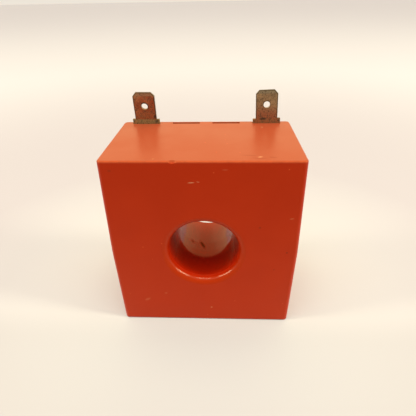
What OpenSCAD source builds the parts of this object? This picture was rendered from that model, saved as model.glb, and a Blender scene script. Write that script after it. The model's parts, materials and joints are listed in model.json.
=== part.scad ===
// Window-type current transformer: a resin-filled moulded case round a toroidal
// winding, with flat push-on terminals in the outer two of its four slots.
// X is the width, Y the depth with the front wall towards -Y, and Z is up.
// The origin is the middle of the base. All lengths are millimetres.

/* [Case] */
// Width of the case at its top and bottom edges
case_w = 50; // [48.5:0.5:60]
// Height of the case without its terminals
case_h = 53; // [50:0.5:64]
// Depth of the case from front wall to rear rim
case_d = 30; // [28:0.5:40]
// How far each side wall stands out at the parting plane, from the two-way draft
side_draft = 0.5; // [0.1:0.05:1.2]
// Width of the land that the mould's parting plane leaves on the side walls
parting_land = 0.2; // [0.1:0.05:0.6]
// Thickness of the top, bottom and side walls
wall = 1.6; // [1.2:0.1:2.2]
// Thickness of the front wall round the window
front_wall = 2; // [1.8:0.1:3]
// Round on the upright edges of the case
upright_r = 1.2; // [0.9:0.1:2]
// Round on the front, top and bottom edges
edge_r = 0.5; // [0.3:0.1:0.8]

/* [Window] */
// Bore of the window at its narrow middle, where the two core pins of the mould met
window_d = 18.5; // [14:0.5:20]
// Length of the straight land in the middle of the window
window_land = 4; // [1:0.5:8]
// Draft of the window from its land towards each end, in degrees
window_draft = 2.4; // [0.5:0.1:3.5]
// Height of the window's axis above the base
window_z = 25.8; // [25:0.1:27.5]
// Wall of the tube that lines the window, at its two ends
tube_wall = 1.7; // [1.6:0.1:2.2]
// Round from the front wall into the window
mouth_r = 1.8; // [0.6:0.1:1.9]
// Round at the rear end of the window
rear_mouth_r = 0.4; // [0.3:0.1:1.5]

/* [Terminal slots] */
// Distance from the side of the case to the middle of each outer slot
slot_inset = 7; // [6.5:0.1:8]
// Clearance on each side of a terminal in its slot
slot_side_clear = 0.1; // [0.05:0.05:0.3]
// Clearance in front of and behind a terminal in its slot
slot_face_clear = 0.15; // [0.05:0.05:0.3]
// Web of case wall left behind the slots
slot_web = 1.05; // [0.9:0.05:2]

/* [Terminals] */
// Thickness of the terminal strip
strip_t = 0.8; // [0.5:0.1:1]
// Width of the shank that stands in the slot
shank_w = 8; // [7:0.1:9]
// How far the shank's shoulders stand above the case
shoulder_rise = 1.3; // [0.6:0.1:2.5]
// How far the shank reaches below the top wall into the resin
shank_drop = 5.4; // [4.5:0.1:8]
// Chamfer on the shank's lower corners
shank_chamfer = 1; // [0.3:0.1:2]
// Width of the push-on blade
blade_w = 6.3; // [4.8:0.1:6.4]
// Length of the blade above the shoulders
blade_l = 8.2; // [7:0.1:12]
// Width of the chamfers at the blade's tip
tip_chamfer_w = 0.95; // [0.4:0.05:1.6]
// Height of the chamfers at the blade's tip
tip_chamfer_h = 1.1; // [0.4:0.05:1.8]
// Length of the lead-in bevel on both faces of the tip
tip_bevel_l = 1; // [0.4:0.1:1.6]
// Thickness left at the very tip
tip_t = 0.4; // [0.2:0.05:0.5]
// Diameter of the detent hole in the blade
detent_d = 1.9; // [1.4:0.1:2.4]
// Height of the detent hole above the shoulders
detent_up = 4.05; // [3:0.05:5]
// Forward bend of the left and of the right blade, in degrees
blade_bend = [8.5, -3]; // [-10:0.5:10]
// Sideways lean of the left and of the right terminal, in degrees
blade_lean = [0.6, -2]; // [-2.5:0.1:2.5]

/* [Core] */
// Height of the core along the window
core_h = 15; // [10:0.5:17]
// Wall of the two insulating core caps
cap_wall = 0.8; // [0.5:0.1:1.2]
// Clearance between the core and its caps
cap_clear = 0.1; // [0.05:0.05:0.3]
// Gap between the two caps round the middle of the core
cap_gap = 0.3; // [0.1:0.1:1]

/* [Winding] */
// Thickness of the secondary winding over the caps
winding_t = 1.3; // [0.8:0.1:1.8]
// Thickness of the tape wrapped over the winding
tape_t = 0.3; // [0.2:0.05:0.6]
// Clearance between the window tube and the taped winding
ring_clear = 0.5; // [0.3:0.1:0.8]
// Space between the taped winding and the wall nearest to it
ring_side_gap = 1.9; // [1:0.1:3]
// Space between the front wall and the taped winding
ring_front_gap = 0.8; // [0.4:0.1:1.5]
// Round on the edges of the taped winding
ring_r = 1.5; // [1:0.1:2]

/* [Leads] */
// Diameter of the winding wire where it leaves the tape
wire_d = 0.6; // [0.4:0.05:0.9]
// Outer diameter of the sleeve over each lead
sleeve_d = 1.4; // [1.2:0.1:1.6]
// Angle from the top at which each lead leaves the winding
lead_angle = 32; // [20:1:40]
// How far each lead runs straight back before it turns
lead_back = 1.8; // [1.2:0.1:2.4]
// How much thicker a wire is at its bends than along its straight stretches
bend_swell = 1.08; // [1.04:0.01:1.15]
// Where each sleeve starts and ends, as shares of the lead's slanted stretch
sleeve_span = [0.08, 0.8]; // [0.06:0.02:0.9]
// Thickness of solder between a wire and its shank
solder_film = 0.1; // [0.05:0.05:0.2]
// Radius of the solder on a terminal's shank
solder_r = 1.1; // [0.8:0.1:1.4]
// Length of the solder beyond its round ends
solder_l = 1.4; // [0.6:0.1:2]

/* [Resin] */
// Depth of the resin's surface below the rear rim
resin_recess = 0.4; // [0.1:0.05:0.6]

/* [Wear] */
// Place of the chip on the front top edge, from the middle
chip_x = -6.8; // [-20:0.1:20]
// Length of the chip along the edge
chip_l = 2; // [0.6:0.1:3]
// Depth of the chip
chip_deep = 0.3; // [0.1:0.05:0.5]

/* [Hidden] */

over = 0.5;                                    // run-out of a cut past the face it opens
front_y = -case_d / 2;
rear_y = case_d / 2;
land_r = window_d / 2;
draft_l = (case_d - window_land) / 2;          // length of each drafted stretch
tube_r = land_r + draft_l * tan(window_draft) + tube_wall;

// the taped winding fills the room between the window tube and the walls, and the strip
// core takes what its tape, its turns and its caps leave
ring_in_r = tube_r + ring_clear;
wound_in_r = ring_in_r + tape_t;
cap_in_r = wound_in_r + winding_t;
core_in_r = cap_in_r + cap_wall + cap_clear;
ring_out_r = min(case_w / 2, window_z, case_h - window_z) - wall - ring_side_gap;
wound_out_r = ring_out_r - tape_t;
cap_out_r = wound_out_r - winding_t;
core_out_r = cap_out_r - cap_wall - cap_clear;
cap_h = core_h + 2 * (cap_clear + cap_wall);
wound_h = cap_h + 2 * winding_t;
ring_h = wound_h + 2 * tape_t;
ring_y = front_y + front_wall + ring_front_gap + ring_h / 2;
ring_rear_y = ring_y + ring_h / 2;

slot_w = shank_w + 2 * slot_side_clear;
slot_t = strip_t + 2 * slot_face_clear;
slot_y = rear_y - slot_web - slot_t / 2;       // middle of the slots and of the terminals
terminal_x = case_w / 2 - slot_inset;
shank_front_y = slot_y - strip_t / 2;
shank_low_z = case_h - wall - shank_drop;

// a lead runs back out of the winding, across to its terminal and up its shank
lead_r = (ring_in_r + ring_out_r) / 2;
lead_x = lead_r * sin(lead_angle);
lead_z = window_z + lead_r * cos(lead_angle);
wire_y = shank_front_y - solder_film - wire_d / 2;
solder_z = shank_low_z + solder_r + 0.1;
lead_start = [lead_x, ring_rear_y - tape_t - wire_d, lead_z];
lead_turn = [lead_x, ring_rear_y + lead_back, lead_z];
lead_foot = [terminal_x, wire_y, solder_z - wire_d];
lead_end = [terminal_x, wire_y, solder_z + solder_l];
sleeve_start = lead_turn + (lead_foot - lead_turn) * sleeve_span[0];
sleeve_end = lead_turn + (lead_foot - lead_turn) * sleeve_span[1];

case_colour = [0.75, 0.17, 0.06];
resin_colour = [0.10, 0.09, 0.09];
steel_colour = [0.45, 0.46, 0.48];
cap_colour = [0.85, 0.82, 0.72];
copper_colour = [0.72, 0.38, 0.18];
tape_colour = [0.88, 0.76, 0.25];
sleeve_colour = [0.82, 0.80, 0.74];
solder_colour = [0.62, 0.63, 0.64];
terminal_colour = [0.42, 0.34, 0.24];

$fn = 96;

// Turns a shape drawn round Z so that its axis lies along the window.
module along_window(y) {
    translate([0, y, window_z]) rotate([-90, 0, 0]) children();
}

// A round bead at one corner of the case: an upright post with a rounded rim.
module corner_bead() {
    rotate_extrude($fn = 32) intersection() {
        translate([upright_r - edge_r, 0]) circle(edge_r, $fn = 32);
        translate([0, -edge_r]) square([upright_r, 2 * edge_r]);
    }
}

// The outer form: flat front and rear, and side walls that draft both ways from the parting
// plane, which lies at the height of the window's axis.
module case_form() {
    hull() for (side = [-1, 1], y = [front_y + upright_r, rear_y - upright_r]) {
        for (z = [edge_r, case_h - edge_r])
            translate([side * (case_w / 2 - upright_r), y, z]) corner_bead();
        translate([side * (case_w / 2 + side_draft - upright_r), y, window_z])
            cylinder(r = upright_r, h = parting_land, center = true, $fn = 32);
    }
}

// The room inside the walls, open at the rear.
module case_room(rear) {
    translate([wall - case_w / 2, front_y + front_wall, wall])
        cube([case_w - 2 * wall, rear - front_y - front_wall, case_h - 2 * wall]);
}

// Distance from the window's axis at which an end round of radius r runs into the face.
function end_reach(r) = land_r + (draft_l - r) * tan(window_draft) + r / cos(window_draft);

// The window, from the front face at Z = 0 to the rear: a straight land in the middle, a
// drafted stretch each way, and a round that touches the draft and the face at each end.
module window_cut() {
    front_x = end_reach(mouth_r);
    rear_x = end_reach(rear_mouth_r);
    // how far a round's touching point on the draft lies from its centre, for a round of 1
    touch_x = cos(window_draft);
    touch_y = sin(window_draft);
    rotate_extrude() difference() {
        polygon([[0, -over], [front_x, -over], [front_x, mouth_r],
            [front_x - mouth_r * touch_x, mouth_r - mouth_r * touch_y],
            [land_r, draft_l], [land_r, draft_l + window_land],
            [rear_x - rear_mouth_r * touch_x, case_d - rear_mouth_r + rear_mouth_r * touch_y],
            [rear_x, case_d - rear_mouth_r], [rear_x, case_d + over], [0, case_d + over]]);
        translate([front_x, mouth_r]) circle(mouth_r, $fn = 64);
        translate([rear_x, case_d - rear_mouth_r]) circle(rear_mouth_r, $fn = 64);
    }
}

module terminal_slot(x) {
    translate([x - slot_w / 2, slot_y - slot_t / 2, case_h - wall - over])
        cube([slot_w, slot_t, wall + 2 * over]);
}

// A shallow bite out of the front top edge.
module edge_chip() {
    reach = (chip_l * chip_l / 4 - chip_deep * chip_deep) / (2 * chip_deep);
    out = (reach - edge_r * (sqrt(2) - 1)) / sqrt(2);
    translate([chip_x, front_y - out, case_h + out]) sphere(reach + chip_deep, $fn = 48);
}

module case() {
    color(case_colour) difference() {
        union() {
            difference() {
                case_form();
                case_room(rear_y + over);
            }
            along_window(front_y + front_wall / 2) cylinder(r = tube_r, h = case_d - front_wall / 2);
        }
        along_window(front_y) window_cut();
        for (x = [-1, -1 / 3, 1 / 3, 1]) terminal_slot(x * terminal_x);
        edge_chip();
    }
}

// A ring of rectangular section with rounded edges, round the window's axis.
module ring(in_r, out_r, h, r) {
    along_window(ring_y) rotate_extrude() union() {
        translate([in_r + r, -h / 2]) square([out_r - in_r - 2 * r, h]);
        translate([in_r, r - h / 2]) square([out_r - in_r, h - 2 * r]);
        for (x = [in_r + r, out_r - r], y = [r - h / 2, h / 2 - r])
            translate([x, y]) circle(r, $fn = 48);
    }
}

// A round rod from one point to another.
module rod(from, to, d) {
    step = to - from;
    translate(from) rotate([0, acos(step[2] / norm(step)), atan2(step[1], step[0])])
        cylinder(d = d, h = norm(step), $fn = 32);
}

// The wire from the winding to a terminal, with a ball at each of its two bends.
module lead() {
    rod(lead_start, lead_turn, wire_d);
    rod(lead_turn, lead_foot, wire_d);
    rod(lead_foot, lead_end, wire_d);
    for (bend = [lead_turn, lead_foot]) translate(bend) sphere(d = wire_d * bend_swell, $fn = 32);
}

module both_sides() {
    children();
    mirror([1, 0, 0]) children();
}

module core() {
    color(steel_colour) ring(core_in_r, core_out_r, core_h, 0.2);
}

// Half of the insulating box round the core: a ring-shaped trough.
module core_cap(face) {
    color(cap_colour) difference() {
        ring(cap_in_r, cap_out_r, cap_h, 0.6);
        ring(core_in_r - cap_clear, core_out_r + cap_clear, core_h + 2 * cap_clear, 0.2);
        along_window(face > 0 ? ring_y - cap_h : ring_y - cap_gap / 2)
            cylinder(r = ring_out_r, h = cap_h + cap_gap / 2);
    }
}

module core_cap_front() { core_cap(-1); }

module core_cap_rear() { core_cap(1); }

module secondary_winding() {
    color(copper_colour) {
        difference() {
            ring(wound_in_r, wound_out_r, wound_h, ring_r - tape_t);
            ring(cap_in_r, cap_out_r, cap_h, 0.6);
        }
        both_sides() lead();
    }
}

module winding_tape() {
    color(tape_colour) difference() {
        ring(ring_in_r, ring_out_r, ring_h, ring_r);
        ring(wound_in_r, wound_out_r, wound_h, ring_r - tape_t);
        both_sides() lead();
    }
}

module sleeve_form() { rod(sleeve_start, sleeve_end, sleeve_d); }

module lead_sleeve(side) {
    color(sleeve_colour) mirror([side < 0 ? 1 : 0, 0, 0]) difference() {
        sleeve_form();
        rod(lead_turn, lead_foot, wire_d);
    }
}

module lead_sleeve_left() { lead_sleeve(-1); }

module lead_sleeve_right() { lead_sleeve(1); }

// A mound of solder against the front of a shank.
module solder_form() {
    intersection() {
        translate([terminal_x, wire_y, solder_z]) {
            cylinder(r = solder_r, h = solder_l, $fn = 48);
            for (z = [0, solder_l]) translate([0, 0, z]) sphere(solder_r, $fn = 48);
        }
        translate([terminal_x - 2 * solder_r, shank_front_y - 2 * solder_r, shank_low_z])
            cube([4 * solder_r, 2 * solder_r, shank_drop]);
    }
}

module solder_joint(side) {
    color(solder_colour) mirror([side < 0 ? 1 : 0, 0, 0]) difference() {
        solder_form();
        lead();
    }
}

module solder_joint_left() { solder_joint(-1); }

module solder_joint_right() { solder_joint(1); }

// Outline of the shank, from its shoulders down.
module shank_outline() {
    low = -shoulder_rise - wall - shank_drop;
    polygon([[-shank_w / 2, 0], [-shank_w / 2, low + shank_chamfer],
        [shank_chamfer - shank_w / 2, low], [shank_w / 2 - shank_chamfer, low],
        [shank_w / 2, low + shank_chamfer], [shank_w / 2, 0]]);
}

// Outline of the blade, from its shoulders up to the chamfered tip.
module blade_outline() {
    difference() {
        polygon([[-blade_w / 2, 0], [blade_w / 2, 0], [blade_w / 2, blade_l - tip_chamfer_h],
            [blade_w / 2 - tip_chamfer_w, blade_l], [tip_chamfer_w - blade_w / 2, blade_l],
            [-blade_w / 2, blade_l - tip_chamfer_h]]);
        translate([0, detent_up]) circle(d = detent_d, $fn = 48);
    }
}

// Section of the strip along the blade, thinned at the tip on both faces.
module blade_section() {
    polygon([[-strip_t / 2, 0], [strip_t / 2, 0], [strip_t / 2, blade_l - tip_bevel_l],
        [tip_t / 2, blade_l], [-tip_t / 2, blade_l], [-strip_t / 2, blade_l - tip_bevel_l]]);
}

// The blade stands on a rolled bend line that is as thick as the strip.
module blade() {
    intersection() {
        rotate([90, 0, 0]) linear_extrude(strip_t, center = true) blade_outline();
        rotate([90, 0, 90]) linear_extrude(blade_w, center = true) blade_section();
    }
    rotate([0, 90, 0]) cylinder(d = strip_t, h = blade_w, center = true, $fn = 48);
}

module terminal(side) {
    i = side < 0 ? 0 : 1;
    color(terminal_colour)
        translate([side * terminal_x, slot_y, case_h - wall / 2]) rotate([0, blade_lean[i], 0])
            translate([0, 0, wall / 2 + shoulder_rise]) {
                rotate([90, 0, 0]) linear_extrude(strip_t, center = true) shank_outline();
                rotate([blade_bend[i], 0, 0]) blade();
            }
}

module terminal_left() { terminal(-1); }

module terminal_right() { terminal(1); }

// The resin fills the room behind the front wall, round everything that stands in it.
module potting_resin() {
    color(resin_colour) difference() {
        case_room(rear_y - resin_recess);
        along_window(front_y) cylinder(r = tube_r, h = case_d);
        ring(ring_in_r, ring_out_r, ring_h, ring_r);
        both_sides() {
            sleeve_form();
            lead();
            solder_form();
        }
        terminal_left();
        terminal_right();
    }
}

case();
potting_resin();
core();
core_cap_front();
core_cap_rear();
secondary_winding();
winding_tape();
lead_sleeve_left();
lead_sleeve_right();
solder_joint_left();
solder_joint_right();
terminal_left();
terminal_right();
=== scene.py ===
# A resin-filled current transformer with a round window and two flat push-on terminals,
# dressed for a studio picture. Metres, +Z up, and the front wall faces -Y.
import json
import math

import bpy
from mathutils import Matrix, Vector


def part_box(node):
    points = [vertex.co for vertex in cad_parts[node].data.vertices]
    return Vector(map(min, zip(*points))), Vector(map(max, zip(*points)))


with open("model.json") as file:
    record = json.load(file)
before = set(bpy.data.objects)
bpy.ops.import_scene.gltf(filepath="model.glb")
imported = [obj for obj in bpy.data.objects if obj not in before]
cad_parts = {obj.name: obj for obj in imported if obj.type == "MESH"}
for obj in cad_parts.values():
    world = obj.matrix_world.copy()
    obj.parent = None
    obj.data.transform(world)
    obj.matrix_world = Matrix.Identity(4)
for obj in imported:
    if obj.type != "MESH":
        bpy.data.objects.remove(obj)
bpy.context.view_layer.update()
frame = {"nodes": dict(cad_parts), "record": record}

mm = 0.001
scene = bpy.context.scene
mounts = {m["name"]: m for m in frame["record"]["mounts"]}
# in millimetres, as every length inside a material is
caseLow, caseHigh = (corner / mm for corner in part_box("case"))
windowZ = mounts["window"]["pos_m"][2] / mm
print("frame loaded:", len(frame["nodes"]), "pieces")


cameraValues = {
    "place": (4.953 * mm, -89.816 * mm, 85.999 * mm),
    "pitch": 31.374,      # degrees down from level
    "yaw": -2.718,        # degrees, positive towards +X
    "roll": -1.132,
    "lens": 30.304,
    "sensor": 36.0,
    "clip": (0.005, 50.0),
}


def makeCamera(v):
    data = bpy.data.cameras.new("studioCamera")
    data.sensor_width = v["sensor"]
    data.lens = v["lens"]
    data.clip_start, data.clip_end = v["clip"]
    camera = bpy.data.objects.new("studioCamera", data)
    scene.collection.objects.link(camera)
    camera.matrix_world = (
        Matrix.Translation(v["place"])
        @ Matrix.Rotation(-math.radians(v["yaw"]), 4, "Z")
        @ Matrix.Rotation(math.radians(90 - v["pitch"]), 4, "X")
        @ Matrix.Rotation(math.radians(v["roll"]), 4, "Z")
    )
    scene.camera = camera


makeCamera(cameraValues)
scene.view_settings.view_transform = "Standard"
print("camera placed")


def newMaterial(name):
    material = bpy.data.materials.new(name)
    material.use_nodes = True
    tree = material.node_tree
    return material, tree, tree.nodes["Principled BSDF"]


def newGroup(name, inputs, outputs):
    # inputs: (name, default); outputs: names; all are plain values
    tree = bpy.data.node_groups.new(name, "ShaderNodeTree")
    for socketName, default in inputs:
        socket = tree.interface.new_socket(
            socketName, in_out="INPUT", socket_type="NodeSocketFloat")
        socket.default_value = default
    for socketName in outputs:
        tree.interface.new_socket(socketName, in_out="OUTPUT", socket_type="NodeSocketFloat")
    return tree, tree.nodes.new("NodeGroupInput"), tree.nodes.new("NodeGroupOutput")


def useGroup(tree, group, values):
    node = tree.nodes.new("ShaderNodeGroup")
    node.node_tree = group
    for key, value in values.items():
        node.inputs[key].default_value = value
    return node


def feed(tree, socket, value):
    # a socket takes another node's output or a plain number
    if isinstance(value, bpy.types.NodeSocket):
        tree.links.new(value, socket)
    else:
        socket.default_value = value


def calc(tree, operation, *values, clamp=False):
    node = tree.nodes.new("ShaderNodeMath")
    node.operation = operation
    node.use_clamp = clamp
    for socket, value in zip(node.inputs, values):
        feed(tree, socket, value)
    return node.outputs[0]


def diagonal(tree, first, second):
    # distance from two distances at right angles to each other
    squares = [calc(tree, "POWER", value, 2.0) for value in (first, second)]
    return calc(tree, "SQRT", calc(tree, "ADD", *squares))


def fromWindow(tree, x, z):
    # distance from the window's axis, in mm
    return diagonal(tree, x, calc(tree, "SUBTRACT", z, windowZ))


def ramp(tree, value, low, high, toLow=0.0, toHigh=1.0, smooth=True):
    # value from low..high is carried to toLow..toHigh, and held beyond
    node = tree.nodes.new("ShaderNodeMapRange")
    node.interpolation_type = "SMOOTHSTEP" if smooth else "LINEAR"
    for socket, number in zip(node.inputs, (value, low, high, toLow, toHigh)):
        feed(tree, socket, number)
    return node.outputs[0]


def spread(tree, cloud, toLow=0.0, toHigh=1.0):
    # a noise keeps mostly to 0.3..0.7, and is carried from there to toLow..toHigh
    return ramp(tree, cloud, 0.3, 0.7, toLow, toHigh)


def blendColours(tree, share, first, second):
    node = tree.nodes.new("ShaderNodeMix")
    node.data_type = "RGBA"
    feed(tree, node.inputs[0], share)
    for socket, colour in zip((node.inputs[6], node.inputs[7]), (first, second)):
        feed(tree, socket, colour if isinstance(colour, bpy.types.NodeSocket) else (*colour, 1))
    return node.outputs[2]


def blendValues(tree, share, first, second):
    node = tree.nodes.new("ShaderNodeMix")
    feed(tree, node.inputs[0], share)
    feed(tree, node.inputs[2], first)
    feed(tree, node.inputs[3], second)
    return node.outputs[0]


def place(tree, scale=(1, 1, 1), turn=(0, 0, 0), shift=(0, 0, 0)):
    # the piece's own coordinates in millimetres, then scaled, turned and moved
    coordinates = tree.nodes.new("ShaderNodeTexCoord")
    mapping = tree.nodes.new("ShaderNodeMapping")
    mapping.inputs["Scale"].default_value = [s / mm for s in scale]
    mapping.inputs["Rotation"].default_value = turn
    mapping.inputs["Location"].default_value = shift
    tree.links.new(coordinates.outputs["Object"], mapping.inputs["Vector"])
    return mapping.outputs[0]


def split(tree, vector):
    node = tree.nodes.new("ShaderNodeSeparateXYZ")
    tree.links.new(vector, node.inputs[0])
    return node.outputs[0], node.outputs[1], node.outputs[2]


def noise(tree, vector, scale, detail=2.0, roughness=0.5, distortion=0.0):
    node = tree.nodes.new("ShaderNodeTexNoise")
    tree.links.new(vector, node.inputs["Vector"])
    node.inputs["Scale"].default_value = scale
    node.inputs["Detail"].default_value = detail
    node.inputs["Roughness"].default_value = roughness
    node.inputs["Distortion"].default_value = distortion
    return node.outputs["Fac"]


def bump(tree, height, depth, strength=1.0):
    # depth is in mm
    node = tree.nodes.new("ShaderNodeBump")
    node.inputs["Distance"].default_value = depth * mm
    node.inputs["Strength"].default_value = strength
    tree.links.new(height, node.inputs["Height"])
    return node.outputs[0]


stageValues = {
    "floorNear": (0.550, 0.578, 0.640),     # paper at the object's foot
    "floorMidPaintedShade": (0.452, 0.445, 0.520),      # painted shade: darker a hand's breadth off, where the panels light it most
    "floorFar": (0.555, 0.572, 0.655),
    "nearFade": (0.0, 80.0),        # mm from the case over which near turns to mid
    "farFade": (110.0, 420.0),      # and mid to far
    "frontFade": (-8.0, -24.0),     # y in mm over which painted shade darkens the paper in front
    "frontPaintedShade": 0.10,             # and how much painted shade
    "floorRough": 0.9,
    "floorShine": 0.1,
    "floorHalf": 6.0,       # metres
    "airColour": (1.0, 0.94, 0.84),
    "airLevel": 0.60,               # brightness of the air all round
    "wallColour": (1.0, 0.76, 0.40),
    "wallLevel": 1.35,              # warm wall low behind the object
    "cardColour": (1.0, 0.73, 0.36),
    "cardLevel": 1.15,              # warm card above it
    "behind": (-0.1, 0.3),          # part of a direction that points back, where the wall begins
    "horizon": (-0.05, 0.05),       # part that points up, where it begins
    "cardStart": (0.42, 0.54),      # and where the card begins
    "backdrop": (0.86, 0.79, 0.69),     # what the camera itself sees past the floor
}


def makeFloor(v):
    half = v["floorHalf"]
    mesh = bpy.data.meshes.new("studioFloor")
    mesh.from_pydata(
        [(-half, -half, 0), (half, -half, 0), (half, half, 0), (-half, half, 0)],
        [], [(0, 1, 2, 3)])
    floor = bpy.data.objects.new("studioFloor", mesh)
    scene.collection.objects.link(floor)
    material, tree, shader = newMaterial("floorPaper")
    x, y, z = split(tree, place(tree))
    gaps = [calc(tree, "MAXIMUM", calc(
        tree, "SUBTRACT", calc(tree, "ABSOLUTE", value), limit), 0.0)
        for value, limit in ((x, caseHigh.x), (y, caseHigh.y))]
    away = diagonal(tree, *gaps)
    # painted shade: the paper is darker a hand's breadth from the case, where the panels light it
    # most
    paperAndPaintedShade = blendColours(tree, ramp(tree, away, *v["nearFade"], smooth=False),
                         v["floorNear"], v["floorMidPaintedShade"])
    paperAndPaintedShade = blendColours(tree, ramp(tree, away, *v["farFade"]), paperAndPaintedShade, v["floorFar"])
    # painted shade on the paper in front of the case
    shade = ramp(tree, y, *v["frontFade"], 0.0, v["frontPaintedShade"])
    tree.links.new(blendColours(tree, shade, paperAndPaintedShade, (0.0, 0.0, 0.0)), shader.inputs["Base Color"])
    shader.inputs["Roughness"].default_value = v["floorRough"]
    shader.inputs["Specular IOR Level"].default_value = v["floorShine"]
    mesh.materials.append(material)


def makeAir(v):
    world = bpy.data.worlds.new("studioAir")
    scene.world = world
    world.use_nodes = True
    tree = world.node_tree
    across, back, up = split(tree, tree.nodes.new("ShaderNodeTexCoord").outputs["Generated"])
    behind = calc(tree, "MULTIPLY", ramp(tree, back, *v["behind"]),
                  ramp(tree, up, *v["horizon"]))
    high = ramp(tree, up, *v["cardStart"])
    colour = blendColours(tree, high, v["wallColour"], v["cardColour"])
    colour = blendColours(tree, behind, v["airColour"], colour)
    level = blendValues(tree, high, v["wallLevel"], v["cardLevel"])
    level = blendValues(tree, behind, v["airLevel"], level)
    seen = tree.nodes.new("ShaderNodeLightPath").outputs["Is Camera Ray"]
    background = tree.nodes["Background"]
    tree.links.new(blendColours(tree, seen, colour, v["backdrop"]), background.inputs["Color"])
    tree.links.new(blendValues(tree, seen, level, 1.0), background.inputs["Strength"])


makeFloor(stageValues)
makeAir(stageValues)


# Each light: compass angle from the rear towards +X, and height angle, in degrees.
lightValues = {
    # upright soft panels at the sides and one overhead; level is a panel's own brightness
    "panelRight": {"compass": 101, "climb": 30, "width": 0.20, "height": 0.84, "level": 17.0},
    "panelLeft": {"compass": -101, "climb": 30, "width": 0.20, "height": 0.84, "level": 12.0},
    "panelTop": {"compass": 180, "climb": 83, "width": 0.70, "height": 0.16, "level": 10.0},
    # a wide overhead diffuser: spread is its angle across, power is on a surface that faces it
    "skyLight": {"compass": 180, "climb": 76, "spread": 80, "power": 1.6},
}
panelColour = (1.0, 0.90, 0.58)
skyColour = (1.0, 0.95, 0.88)
lightFar = 1.2      # metres from the object


def makeLight(name, v):
    if "spread" in v:
        data = bpy.data.lights.new(name, "SUN")
        data.angle = math.radians(v["spread"])
        data.energy = v["power"]
        data.color = skyColour
    else:
        data = bpy.data.lights.new(name, "AREA")
        data.shape = "RECTANGLE"
        data.size = v["width"]
        data.size_y = v["height"]
        data.energy = v["level"] * math.pi * v["width"] * v["height"]
        data.color = panelColour
    light = bpy.data.objects.new(name, data)
    scene.collection.objects.link(light)
    light.visible_glossy = "spread" not in v      # the sky is too wide to show as a reflection
    compass, climb = math.radians(v["compass"]), math.radians(v["climb"])
    towards = Vector((math.sin(compass) * math.cos(climb),
                      math.cos(compass) * math.cos(climb), math.sin(climb)))
    target = Vector((0, 0, caseHigh.z * mm / 2))
    light.matrix_world = (Matrix.Translation(target + towards * lightFar)
                          @ towards.to_track_quat("Z", "Y").to_matrix().to_4x4())


for lightName, v in lightValues.items():
    makeLight(lightName, v)
print("stage and lights made")


def grainGroup():
    # moulding grain: fine pits plus a slow unevenness, both round 0.5
    tree, source, sink = newGroup(
        "mouldGrain", [("Fine", 3.0), ("Slow", 0.12)], ["Height", "Cloud"])
    vector = place(tree)
    for size, output in (("Fine", "Height"), ("Slow", "Cloud")):
        node = tree.nodes.new("ShaderNodeTexNoise")
        tree.links.new(vector, node.inputs["Vector"])
        tree.links.new(source.outputs[size], node.inputs["Scale"])
        node.inputs["Detail"].default_value = 3.0
        tree.links.new(node.outputs["Fac"], sink.inputs[output])
    return tree


def speckGroup():
    # scattered specks: a cell noise's cells are picked by share, and each picked one has
    # a speck of the given size round its centre
    tree, source, sink = newGroup(
        "dustSpecks", [("Scale", 0.5), ("Size", 0.12), ("Share", 0.2)], ["Mask"])
    cells = tree.nodes.new("ShaderNodeTexVoronoi")
    tree.links.new(place(tree), cells.inputs["Vector"])
    tree.links.new(source.outputs["Scale"], cells.inputs["Scale"])
    chance = split(tree, cells.outputs["Color"])[0]
    picked = calc(tree, "LESS_THAN", chance, source.outputs["Share"])
    far = calc(tree, "DIVIDE", cells.outputs["Distance"], source.outputs["Size"])
    near = calc(tree, "SUBTRACT", 1.0, far, clamp=True)
    tree.links.new(calc(tree, "MULTIPLY", near, picked), sink.inputs["Mask"])
    return tree


def rubGroup():
    # wear along the edges of a box centred on X and Y: strong where two of the three
    # distances to its faces are small
    tree, source, sink = newGroup(
        "edgeRub", [("Half X", 25.0), ("Half Y", 15.0), ("High", 53.0), ("Width", 0.8)], ["Mask"])
    x, y, z = split(tree, place(tree))
    sides = []
    for value, limit in ((calc(tree, "ABSOLUTE", x), "Half X"),
                         (calc(tree, "ABSOLUTE", y), "Half Y"), (z, "High")):
        gap = calc(tree, "SUBTRACT", source.outputs[limit], value)
        far = calc(tree, "DIVIDE", gap, source.outputs["Width"])
        sides.append(calc(tree, "SUBTRACT", 1.0, far, clamp=True))
    pairs = [calc(tree, "MULTIPLY", sides[i], sides[j]) for i, j in ((0, 1), (1, 2), (0, 2))]
    most = calc(tree, "MAXIMUM", calc(tree, "MAXIMUM", pairs[0], pairs[1]), pairs[2])
    tree.links.new(most, sink.inputs["Mask"])
    return tree


mouldGrain = grainGroup()
dustSpecks = speckGroup()
edgeRub = rubGroup()
print("shared effects made")


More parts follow.
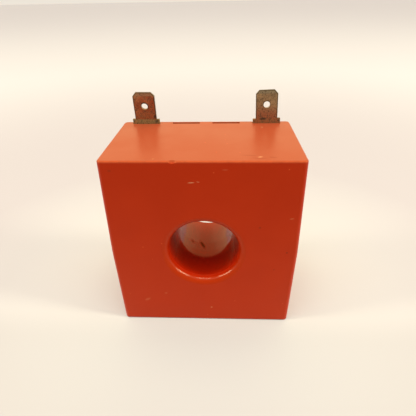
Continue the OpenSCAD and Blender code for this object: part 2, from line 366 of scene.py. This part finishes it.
caseValues = {
    "redLowPaintedBounce": (0.400, 0.0200, 0.0006),    # near the base, lighter with painted floor bounce
    "redHigh": (0.342, 0.0142, 0.0005),
    "redFoot": 2.0,                       # mm above the base where the painted bounce is whole
    "topPaintedSheen": (0.345, 0.0600, 0.0240),     # the top, lighter with painted sheen
    "topSkin": (0.7, 0.1),                # mm below the top over which it begins
    "round": (0.350, 0.0195, 0.0006),     # the round at the window's front
    "mouthPaintedLight": (0.475, 0.0165, 0.0010),     # the window's mouth, lighter with painted light
    "throatPaintedShade": (0.258, 0.0080, 0.0026),    # its throat, darker with painted shade
    "bore": (0.450, 0.0210, 0.0030),      # and the rest, lighter again with painted light from the rear opening
    "roundDepth": (0.6, 1.9),     # mm behind the front over which the round turns to mouth
    "mouthDepth": (1.9, 9.4),     # mouth to throat
    "boreDepth": (8.5, 12.5),     # and throat to bore
    "rubbed": (0.56, 0.085, 0.025),
    "dust": (0.62, 0.30, 0.16),
    "dirt": (0.12, 0.035, 0.018),
    "satin": 0.42,        # roughness of the flat faces
    "satinSpread": 0.04,
    "topSatin": 0.34,
    "roundSatin": 0.40,   # roughness of the window's round and walls
    "gloss": 0.07,        # roughness of the window's floor, where cables lie
    "laidDepth": (1.8, 3.0),      # mm behind the front over which that floor begins
    "laidBelow": (3.0, 6.0),      # mm below the window's axis over which it begins
    "polishIn": (0.50, 0.85),     # mm behind the front over which the round's polish begins
    "polishOut": (1.9, 1.5),      # and over which it ends
    "polish": 0.75,
    "polishRough": 0.13,
    "glossEdge": (10.9, 11.7),    # radius in mm over which the window's finish ends
    "grainEdge": (11.8, 12.8),    # and over which the grain begins
    "grain": {"Fine": 0.9, "Slow": 0.09},
    "specks": {"Scale": 0.35, "Size": 0.09, "Share": 0.25},
    "cloudShift": 0.15,           # how far the slow unevenness shifts the red
    "rubWidth": 0.5,
    "rubInset": 0.3,              # mm that the worn edge lies inside the widest point
    "rubGrain": (0.35, 0.6),      # grain heights over which the wear shows
    "rubShare": (0.3, 0.8),
    "lightRough": 0.3,            # roughness that a light mark adds
    "darkRough": 0.45,
    "darkDepth": 0.6,             # depth of a dark mark, as a share of the grain's
    "grainDepth": 0.005,
    "grainStrength": 0.3,
    "sheen": (1.0, 0.36, 0.14),
}

# Marks: face, middle (mm), half length and half width (mm), turn (degrees), strength.
# The middle is (x, z) on the front, (y, z) on the sides, and (x, y) on the top and the
# bottom of the bore.
lightMarks = [
    ("front", (-2.6, 47.4), (0.9, 0.13), 4, 0.75),
    ("front", (-0.9, 47.6), (0.45, 0.12), -10, 0.45),
    ("front", (5.6, 50.8), (0.8, 0.16), 0, 0.15),
    ("front", (22.6, 37.2), (0.65, 0.14), 6, 0.35),
    ("front", (1.9, 5.2), (0.35, 0.30), 0, 0.45),
    ("front", (-11.5, 10.8), (0.5, 0.35), 20, 0.15),
    ("front", (-17.2, 8.2), (1.1, 0.5), 30, 0.15),
    ("top", (13.9, -12.5), (0.7, 0.28), 20, 0.8),
    ("top", (-11.5, -13.6), (0.25, 0.22), 0, 0.6),
    ("top", (16.3, 9.2), (0.3, 0.4), 0, 0.55),
    ("right", (-6.0, 38.0), (1.5, 0.18), 25, 0.25),
    ("right", (4.2, 14.5), (0.5, 0.3), 0, 0.35),
    ("right", (8.5, 30.0), (2.4, 0.13), -50, 0.18),
    ("left", (3.0, 41.0), (1.3, 0.16), -20, 0.25),
    ("left", (-8.5, 11.0), (0.6, 0.35), 10, 0.35),
    ("left", (7.5, 22.0), (2.0, 0.13), 60, 0.18),
]
darkMarks = [
    ("front", (14.7, 34.4), (0.35, 0.30), 0, 0.5),
    ("front", (22.4, 26.3), (0.28, 0.26), 0, 0.8),
    ("front", (19.4, 20.3), (0.25, 0.25), 0, 0.45),
    ("front", (-22.0, 50.5), (0.5, 0.3), 0, 0.35),
    ("top", (11.2, -11.5), (2.4, 0.16), -6, 0.3),
    ("top", (13.6, -13.2), (2.2, 0.14), -4, 0.35),
    ("top", (16.9, -12.7), (1.2, 0.2), -8, 0.3),
    ("right", (10.5, 46.0), (0.3, 0.25), 0, 0.5),
    ("left", (-2.0, 30.5), (0.28, 0.25), 0, 0.5),
    ("bore", (-1.3, 0.9), (2.6, 0.62), -66, 1.0),
    ("bore", (-4.5, 1.4), (1.2, 0.5), -60, 0.8),
]
markFade = (0.4, 1.2)     # shares of an ellipse's size over which a mark fades
markSkin = {
    # mm inside the case's box within which a mark on that face shows
    "front": 0.3,
    "top": 0.3,
    "side": 1.0,
    "bore": (4.0, 10.5),     # mm below the window's axis
}


def softEllipse(tree, across, along, middle, halves, turn, strength):
    # full strength in the middle of an ellipse, falling to nothing just past its rim
    u = calc(tree, "SUBTRACT", across, middle[0])
    w = calc(tree, "SUBTRACT", along, middle[1])
    c, s = math.cos(math.radians(turn)), math.sin(math.radians(turn))
    far = diagonal(tree, *[
        calc(tree, "ADD", calc(tree, "MULTIPLY", u, first / half),
             calc(tree, "MULTIPLY", w, second / half))
        for first, second, half in ((c, s, halves[0]), (-s, c, halves[1]))])
    return ramp(tree, far, *markFade, strength, 0.0)


def marksMask(tree, marks, x, y, z):
    # the strongest of a list of soft ellipses; a face has its mask and its two directions
    skin = markSkin
    shallow, deep = (windowZ - reach for reach in skin["bore"])
    faces = {
        "front": (calc(tree, "LESS_THAN", y, caseLow.y + skin["front"]), x, z),
        "top": (calc(tree, "GREATER_THAN", z, caseHigh.z - skin["top"]), x, y),
        "right": (calc(tree, "GREATER_THAN", x, caseHigh.x - skin["side"]), y, z),
        "left": (calc(tree, "LESS_THAN", x, caseLow.x + skin["side"]), y, z),
        "bore": (calc(tree, "MULTIPLY", calc(tree, "LESS_THAN", z, shallow),
                      calc(tree, "GREATER_THAN", z, deep)), x, y),
    }
    total = 0.0
    for face, middle, halves, turn, strength in marks:
        onFace, across, along = faces[face]
        spot = softEllipse(tree, across, along, middle, halves, turn, strength)
        total = calc(tree, "MAXIMUM", calc(tree, "MULTIPLY", spot, onFace), total)
    return total


def casePlastic(v):
    material, tree, shader = newMaterial("casePlastic")
    x, y, z = split(tree, place(tree))
    depth = calc(tree, "SUBTRACT", y, caseLow.y)
    radius = fromWindow(tree, x, z)
    outside = ramp(tree, radius, *v["glossEdge"])     # 0 in the window, 1 on the faces
    inside = calc(tree, "SUBTRACT", 1.0, outside)
    onTop = ramp(tree, z, *(caseHigh.z - below for below in v["topSkin"]))
    grain = useGroup(tree, mouldGrain, v["grain"]).outputs
    rub = useGroup(tree, edgeRub, {"High": caseHigh.z, "Half X": caseHigh.x - v["rubInset"],
                                   "Width": v["rubWidth"]}).outputs["Mask"]
    specks = useGroup(tree, dustSpecks, v["specks"]).outputs["Mask"]
    light = marksMask(tree, lightMarks, x, y, z)
    dark = marksMask(tree, darkMarks, x, y, z)

    # painted floor bounce: the red grows lighter towards the base, shifted by the slow unevenness
    low = calc(tree, "ADD", ramp(tree, z, caseHigh.z, v["redFoot"], smooth=False),
               spread(tree, grain["Cloud"], -v["cloudShift"], v["cloudShift"]), clamp=True)
    faces = blendColours(tree, low, v["redHigh"], v["redLowPaintedBounce"])
    # painted sheen: the top face is lighter
    faces = blendColours(tree, onTop, faces, v["topPaintedSheen"])
    # painted light at the window's mouth and deep in the bore, painted shade in its throat
    bore = blendColours(tree, ramp(tree, depth, *v["roundDepth"]), v["round"], v["mouthPaintedLight"])
    bore = blendColours(tree, ramp(tree, depth, *v["mouthDepth"], smooth=False),
                        bore, v["throatPaintedShade"])
    bore = blendColours(tree, ramp(tree, depth, *v["boreDepth"]), bore, v["bore"])
    colour = blendColours(tree, outside, bore, faces)
    wear = calc(tree, "MULTIPLY", rub,
                ramp(tree, grain["Height"], *v["rubGrain"], *v["rubShare"]))
    colour = blendColours(tree, wear, colour, v["rubbed"])
    colour = blendColours(tree, calc(tree, "MULTIPLY", specks, outside), colour, v["rubbed"])
    colour = blendColours(tree, light, colour, v["dust"])
    colour = blendColours(tree, dark, colour, v["dirt"])
    tree.links.new(colour, shader.inputs["Base Color"])

    satin = blendValues(tree, onTop, v["satin"], v["topSatin"])
    satin = calc(tree, "ADD", satin, spread(
        tree, grain["Cloud"], -v["satinSpread"], v["satinSpread"]))
    laid = calc(tree, "MULTIPLY", ramp(tree, depth, *v["laidDepth"]),
                ramp(tree, z, *(windowZ - below for below in v["laidBelow"])))
    rough = blendValues(tree, laid, v["roundSatin"], v["gloss"])
    rough = blendValues(tree, outside, rough, satin)
    rough = calc(tree, "ADD", rough, calc(tree, "MULTIPLY", dark, v["darkRough"]))
    rough = calc(tree, "ADD", rough, calc(tree, "MULTIPLY", light, v["lightRough"]))
    tree.links.new(rough, shader.inputs["Roughness"])
    height = calc(tree, "MULTIPLY", grain["Height"], ramp(tree, radius, *v["grainEdge"]))
    height = calc(tree, "SUBTRACT", height, calc(tree, "MULTIPLY", dark, v["darkDepth"]))
    tree.links.new(bump(tree, height, v["grainDepth"], v["grainStrength"]),
                   shader.inputs["Normal"])
    tree.links.new(dark, shader.inputs["Metallic"])      # smears of metal from conductors
    shader.inputs["Specular Tint"].default_value = (*v["sheen"], 1)
    polish = calc(tree, "MULTIPLY", ramp(tree, depth, *v["polishIn"], 0.0, v["polish"]),
                  ramp(tree, depth, *v["polishOut"]))
    tree.links.new(calc(tree, "MULTIPLY", polish, inside), shader.inputs["Coat Weight"])
    shader.inputs["Coat Roughness"].default_value = v["polishRough"]
    return material


# The two blades have tarnished differently. Marks are in mm from the hole, across and up
# the blade; hole gives the direction in which its grime is thickest, and how thick.
leftMetal = {
    "mount": "terminal_left_detent",
    "blade": "terminal_left_blade",
    "metal": (0.49, 0.300, 0.142),
    "brown": (0.36, 0.170, 0.080),
    "base": (0.43, 0.340, 0.180),      # the blade's lower part
    "tip": (0.36, 0.170, 0.085),       # the bevel at its tip
    "shoulder": (0.39, 0.36, 0.160),
    "pit": (0.045, 0.028, 0.018),
    "marks": [
        ((2.75, -3.2), (0.75, 0.45), 80, 0.95),
        ((3.2, -4.7), (0.9, 0.5), 60, 0.85),
        ((-3.7, -4.6), (0.35, 0.5), 0, 0.8),
        ((0.2, 2.8), (0.5, 0.28), 5, 0.45),
        ((-1.95, 0.4), (0.35, 0.22), 30, 0.45),
        ((-2.1, -0.5), (0.25, 0.2), 0, 0.35),
        ((-0.7, -1.6), (0.18, 0.18), 0, 0.6),
        ((1.6, -1.5), (0.4, 0.15), -40, 0.35),
        ((2.4, -1.2), (0.9, 0.14), 84, 0.5),
    ],
    "hole": (0.35, 0.94, 0.95),
}
rightMetal = {
    "mount": "terminal_right_detent",
    "blade": "terminal_right_blade",
    "metal": (0.39, 0.262, 0.130),
    "brown": (0.25, 0.170, 0.090),
    "base": (0.40, 0.185, 0.090),
    "tip": (0.36, 0.260, 0.150),
    "shoulder": (0.42, 0.25, 0.115),
    "pit": (0.050, 0.036, 0.020),
    "marks": [
        ((-1.1, -4.05), (1.3, 0.42), 6, 1.0),
        ((1.1, -4.0), (0.6, 0.16), 0, 0.55),
        ((3.5, -4.6), (0.5, 0.45), 0, 0.8),
        ((-3.7, -4.8), (0.3, 0.5), 0, 0.6),
        ((-0.3, 3.25), (1.7, 0.14), 3, 0.4),
        ((2.1, 3.05), (0.45, 0.3), 0, 0.45),
        ((-1.4, 2.75), (0.36, 0.12), 55, 0.65),
        ((0.2, 2.05), (0.36, 0.14), 70, 0.65),
        ((-0.35, 1.45), (0.3, 0.16), 60, 0.5),
        ((0.4, -1.7), (0.6, 0.12), -12, 0.4),
        ((1.25, -1.5), (0.3, 0.2), -50, 0.4),
    ],
    "hole": (-0.55, 0.84, 0.7),
}
bladeShape = {
    # mm from the hole's middle, as the blades are made
    "half": 3.15,
    "tip": 4.15,
    "cornerAcross": 0.95,
    "cornerUp": 1.1,
    "shoulder": -4.05,
    "holeR": 0.95,
}
bladeValues = {
    "edge": (0.13, 0.095, 0.045),     # painted dark reflection: the dark line along the cut edges
    "edgeReach": (-0.42, -0.12),      # mm from the edge over which it begins
    "edgeShare": 0.8,
    "cornerReach": 0.7,
    "shoulderReach": (0.25, -0.15),   # mm above the shoulders over which they begin
    "shoulderShare": 0.85,
    "baseReach": (0.5, -3.0),
    "baseShare": 0.8,
    "tipReach": (2.9, 3.4),
    "cloud": (0.5, 4.0, 0.6),         # noises: scale, detail, roughness, distortion
    "mottle": (2.2, 5.0, 0.7, 0.4),
    "grit": (4.5, 3.0, 0.6),
    "rolled": (1.0, 3.0, 0.6),
    "rolledScale": (6.0, 6.0, 0.35),
    "cloudEnds": (0.36, 0.64),
    "mottlePits": (0.49, 0.63, 0.0, 0.8),
    "gritPits": (0.56, 0.68, 0.0, 0.75),
    "grimeShare": (0.3, 0.55, 0.7, 1.0),      # four numbers: a value's range, and what it turns to
    "holeReach": (0.5, 0.15),         # mm from the hole's rim over which its grime begins
    "holeSides": (-0.8, 0.6),
    "holeThin": 0.25,
    "rough": (0.35, 0.7, 0.28, 0.5),
    "shoulderRough": 0.12,
    "metallic": (0.95, 0.5),          # clean and pitted
    "heights": (0.6, 0.4, 0.5),       # shares of mottle, rolling lines and grime
    "depth": 0.015,
    "strength": 0.6,
}


def terminalMetal(name, v):
    material, tree, shader = newMaterial(name)
    vector = place(tree)
    x, y, z = split(tree, vector)
    shape, b = bladeShape, bladeValues
    # across and up the leaning blade, from the middle of its hole
    middle, axis = mounts[v["mount"]]["pos_m"], mounts[v["blade"]]["axis"]
    rise = calc(tree, "SUBTRACT", z, middle[2] / mm)
    across = calc(tree, "SUBTRACT", calc(tree, "SUBTRACT", x, middle[0] / mm),
                  calc(tree, "MULTIPLY", rise, axis[0] / axis[2]))
    up = calc(tree, "DIVIDE", rise, axis[2])
    onShoulder = ramp(tree, up, *(shape["shoulder"] + reach for reach in b["shoulderReach"]))

    mottle = noise(tree, vector, *b["mottle"])
    colour = blendColours(tree, ramp(tree, noise(tree, vector, *b["cloud"]), *b["cloudEnds"]),
                          v["brown"], v["metal"])
    colour = blendColours(tree, ramp(tree, up, *b["baseReach"], 0.0, b["baseShare"]),
                          colour, v["base"])
    colour = blendColours(tree, ramp(tree, up, *b["tipReach"]), colour, v["tip"])
    colour = blendColours(tree, ramp(tree, onShoulder, 0.0, 1.0, 0.0, b["shoulderShare"]),
                          colour, v["shoulder"])

    # painted dark reflection along the cut edges: nearness to the sides, the tip and the two cut
    # corners
    pastSide = calc(tree, "SUBTRACT", calc(tree, "ABSOLUTE", across), shape["half"])
    pastTip = calc(tree, "SUBTRACT", up, shape["tip"])
    corner = calc(tree, "ADD", calc(tree, "DIVIDE", pastSide, shape["cornerAcross"]),
                  calc(tree, "DIVIDE", pastTip, shape["cornerUp"]))
    corner = calc(tree, "MULTIPLY", calc(tree, "ADD", corner, 1.0), b["cornerReach"])
    near = calc(tree, "MAXIMUM", calc(tree, "MAXIMUM", pastSide, pastTip), corner)
    edgeReflectionLine = calc(tree, "MULTIPLY", ramp(tree, near, *b["edgeReach"], 0.0, b["edgeShare"]),
                calc(tree, "SUBTRACT", 1.0, onShoulder))
    colour = blendColours(tree, edgeReflectionLine, colour, b["edge"])

    # grime round the hole, thickest on one side, and the marks
    far = diagonal(tree, across, up)
    side = calc(tree, "ADD", calc(tree, "MULTIPLY", across, v["hole"][0]),
                calc(tree, "MULTIPLY", up, v["hole"][1]))
    side = ramp(tree, calc(tree, "DIVIDE", side, far), *b["holeSides"],
                b["holeThin"], v["hole"][2])
    grime = calc(tree, "MULTIPLY", side, ramp(
        tree, far, *(shape["holeR"] + reach for reach in b["holeReach"])))
    for spot, halves, turn, strength in v["marks"]:
        grime = calc(tree, "MAXIMUM", grime, softEllipse(
            tree, across, up, spot, halves, turn, strength))
    pits = calc(tree, "MAXIMUM", ramp(tree, mottle, *b["mottlePits"]),
                ramp(tree, noise(tree, vector, *b["grit"]), *b["gritPits"]))
    pits = calc(tree, "MAXIMUM", pits, calc(
        tree, "MULTIPLY", grime, ramp(tree, mottle, *b["grimeShare"])))
    tree.links.new(blendColours(tree, pits, colour, v["pit"]), shader.inputs["Base Color"])
    rough = calc(tree, "ADD", ramp(tree, mottle, *b["rough"]),
                 calc(tree, "MULTIPLY", onShoulder, b["shoulderRough"]))
    tree.links.new(rough, shader.inputs["Roughness"])
    tree.links.new(ramp(tree, pits, 0.0, 1.0, *b["metallic"]), shader.inputs["Metallic"])
    rolled = noise(tree, place(tree, scale=b["rolledScale"]), *b["rolled"])
    height = 0.0
    for layer, share in zip((mottle, rolled, grime), b["heights"]):
        height = calc(tree, "ADD", calc(tree, "MULTIPLY", layer, share), height)
    tree.links.new(bump(tree, height, b["depth"], b["strength"]), shader.inputs["Normal"])
    return material


resinValues = {
    "deep": (0.012, 0.011, 0.011),
    "pale": (0.030, 0.027, 0.024),
    "dust": (0.16, 0.145, 0.125),
    "tubeR": 11.5,            # outside radius in mm of the window's tube
    "creep": (1.7, 0.0),      # mm from a wall over which the resin has crept up it
    "bubbles": {"Scale": 0.3, "Size": 0.14, "Share": 0.3},
    "cloud": (0.12, 3.0),     # noises: scale, detail, roughness
    "film": (1.4, 4.0, 0.65),
    "swell": (0.25, 2.0),
    "filmEnds": (0.5, 0.75),
    "filmShare": (0.0, 0.6, 0.25, 0.7),     # creep from 0 to 0.6 takes the dust from 0.25 to 0.7
    "rough": (0.10, 0.22),
    "filmRough": 0.35,
    "swellHeight": 0.15,          # as shares of depth
    "bubbleHeight": 0.5,
    "depth": 0.45,
    "strength": 0.8,
}


def pottingResin(v):
    # it has crept up its walls while it set, and a few bubbles have burst at its skin
    material, tree, shader = newMaterial("pottingResin")
    vector = place(tree)
    x, y, z = split(tree, vector)
    low, high = (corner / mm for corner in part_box("potting_resin"))
    toWall = calc(tree, "SUBTRACT", high.x, calc(tree, "ABSOLUTE", x))
    for gap in (calc(tree, "SUBTRACT", high.z, z), calc(tree, "SUBTRACT", z, low.z),
                calc(tree, "SUBTRACT", fromWindow(tree, x, z), v["tubeR"])):
        toWall = calc(tree, "MINIMUM", toWall, gap)
    crept = ramp(tree, toWall, *v["creep"])
    bubbles = useGroup(tree, dustSpecks, v["bubbles"]).outputs["Mask"]
    cloud = noise(tree, vector, *v["cloud"])
    film = calc(tree, "MULTIPLY", ramp(tree, noise(tree, vector, *v["film"]), *v["filmEnds"]),
                ramp(tree, crept, *v["filmShare"]))
    colour = blendColours(tree, spread(tree, cloud), v["deep"], v["pale"])
    tree.links.new(blendColours(tree, film, colour, v["dust"]), shader.inputs["Base Color"])
    rough = calc(tree, "ADD", spread(tree, cloud, *v["rough"]),
                 calc(tree, "MULTIPLY", film, v["filmRough"]))
    tree.links.new(rough, shader.inputs["Roughness"])
    swell = calc(tree, "MULTIPLY", noise(tree, vector, *v["swell"]), v["swellHeight"])
    height = calc(tree, "SUBTRACT", calc(tree, "ADD", swell, crept),
                  calc(tree, "MULTIPLY", bubbles, v["bubbleHeight"]))
    tree.links.new(bump(tree, height, v["depth"], v["strength"]), shader.inputs["Normal"])
    return material


steelValues = {
    "gap": (0.12, 0.13, 0.15),
    "strip": (0.42, 0.44, 0.47),
    "thick": 0.15,            # mm of strip to a half turn
    "gapEnds": (0.02, 0.12),
    "metallic": 0.9,
    "rough": 0.38,
    "depth": 0.05,
}


def woundSteel(v):
    # strip edges show as fine rings round the window's axis
    material, tree, shader = newMaterial("woundSteel")
    x, y, z = split(tree, place(tree))
    layers = calc(tree, "PINGPONG", fromWindow(tree, x, z), v["thick"])
    tree.links.new(blendColours(tree, ramp(tree, layers, *v["gapEnds"]), v["gap"], v["strip"]),
                   shader.inputs["Base Color"])
    shader.inputs["Metallic"].default_value = v["metallic"]
    shader.inputs["Roughness"].default_value = v["rough"]
    tree.links.new(bump(tree, layers, v["depth"]), shader.inputs["Normal"])
    return material


capValues = {
    "dull": (0.68, 0.63, 0.50),
    "pale": (0.76, 0.72, 0.60),
    "grain": {"Fine": 1.5, "Slow": 0.1},
    "rough": 0.5,
    "depth": 0.02,
    "strength": 0.4,
}


def capPlastic(v):
    material, tree, shader = newMaterial("capPlastic")
    grain = useGroup(tree, mouldGrain, v["grain"]).outputs
    tree.links.new(blendColours(tree, spread(tree, grain["Cloud"]), v["dull"], v["pale"]),
                   shader.inputs["Base Color"])
    shader.inputs["Roughness"].default_value = v["rough"]
    tree.links.new(bump(tree, grain["Height"], v["depth"], v["strength"]),
                   shader.inputs["Normal"])
    return material


copperValues = {
    "low": (0.24, 0.075, 0.02),
    "high": (0.62, 0.26, 0.09),
    "turns": 170,
    "cloud": (0.6, 3.0),      # noise: scale, detail
    "shares": (0.7, 0.3),     # of the turns and of the noise in the colour
    "depth": 0.12,
    "rough": (0.22, 0.34),
    "metallic": 0.85,
}
tapeValues = {
    "low": (0.52, 0.37, 0.04),
    "high": (0.74, 0.58, 0.12),
    "turns": 24,
    "cloud": (0.6, 3.0),
    "shares": (0.7, 0.3),
    "depth": 0.10,
    "rough": (0.25, 0.37),
    "metallic": 0.0,
}


def windingTurns(name, v):
    # turns lie round the ring's section, so they repeat with the angle about the window's axis
    material, tree, shader = newMaterial(name)
    x, y, z = split(tree, place(tree, shift=(0, 0, -windowZ)))
    angle = calc(tree, "ARCTAN2", z, x)
    wave = calc(tree, "SINE", calc(tree, "MULTIPLY", angle, v["turns"]))
    cloud = noise(tree, place(tree), *v["cloud"])
    turnShare, cloudShare = v["shares"]
    shade = calc(tree, "ADD", ramp(tree, wave, -1.0, 1.0, 0.0, turnShare),
                 calc(tree, "MULTIPLY", cloud, cloudShare))
    tree.links.new(blendColours(tree, shade, v["low"], v["high"]), shader.inputs["Base Color"])
    tree.links.new(spread(tree, cloud, *v["rough"]), shader.inputs["Roughness"])
    shader.inputs["Metallic"].default_value = v["metallic"]
    tree.links.new(bump(tree, wave, v["depth"]), shader.inputs["Normal"])
    return material


sleeveValues = {
    "shadow": (0.46, 0.44, 0.38),
    "yarn": (0.74, 0.72, 0.64),
    "turn": (0.4, 0.7, 0.2),      # radians, so that no thread runs along an axis
    "threads": 14.0,              # radians to the mm
    "rough": 0.7,
    "depth": 0.04,
}


def wovenSleeve(v):
    material, tree, shader = newMaterial("wovenSleeve")
    x, y, z = split(tree, place(tree, turn=v["turn"]))
    weave = calc(tree, "MULTIPLY", *[
        calc(tree, "SINE", calc(tree, "MULTIPLY", calc(tree, operation, x, z), v["threads"]))
        for operation in ("ADD", "SUBTRACT")])
    tree.links.new(blendColours(tree, ramp(tree, weave, -1.0, 1.0), v["shadow"], v["yarn"]),
                   shader.inputs["Base Color"])
    shader.inputs["Roughness"].default_value = v["rough"]
    tree.links.new(bump(tree, weave, v["depth"]), shader.inputs["Normal"])
    return material


solderValues = {
    "dull": (0.33, 0.34, 0.36),
    "bright": (0.52, 0.53, 0.54),
    "cloud": (1.6, 3.0),      # noise: scale, detail
    "rough": (0.2, 0.42),
    "metallic": 0.95,
}


def solderMetal(v):
    material, tree, shader = newMaterial("solderMetal")
    cloud = noise(tree, place(tree), *v["cloud"])
    tree.links.new(blendColours(tree, spread(tree, cloud), v["dull"], v["bright"]),
                   shader.inputs["Base Color"])
    tree.links.new(spread(tree, cloud, *v["rough"]), shader.inputs["Roughness"])
    shader.inputs["Metallic"].default_value = v["metallic"]
    return material


cap, sleeve, solder = capPlastic(capValues), wovenSleeve(sleeveValues), solderMetal(solderValues)
finishes = {
    "case": casePlastic(caseValues),
    "potting_resin": pottingResin(resinValues),
    "core": woundSteel(steelValues),
    "core_cap_front": cap,
    "core_cap_rear": cap,
    "secondary_winding": windingTurns("windingCopper", copperValues),
    "winding_tape": windingTurns("windingTape", tapeValues),
    "lead_sleeve_left": sleeve,
    "lead_sleeve_right": sleeve,
    "solder_joint_left": solder,
    "solder_joint_right": solder,
    "terminal_left": terminalMetal("leftTerminalMetal", leftMetal),
    "terminal_right": terminalMetal("rightTerminalMetal", rightMetal),
}
for nodeName, node in frame["nodes"].items():
    node.data.materials[0] = finishes[nodeName]
print("materials assigned")
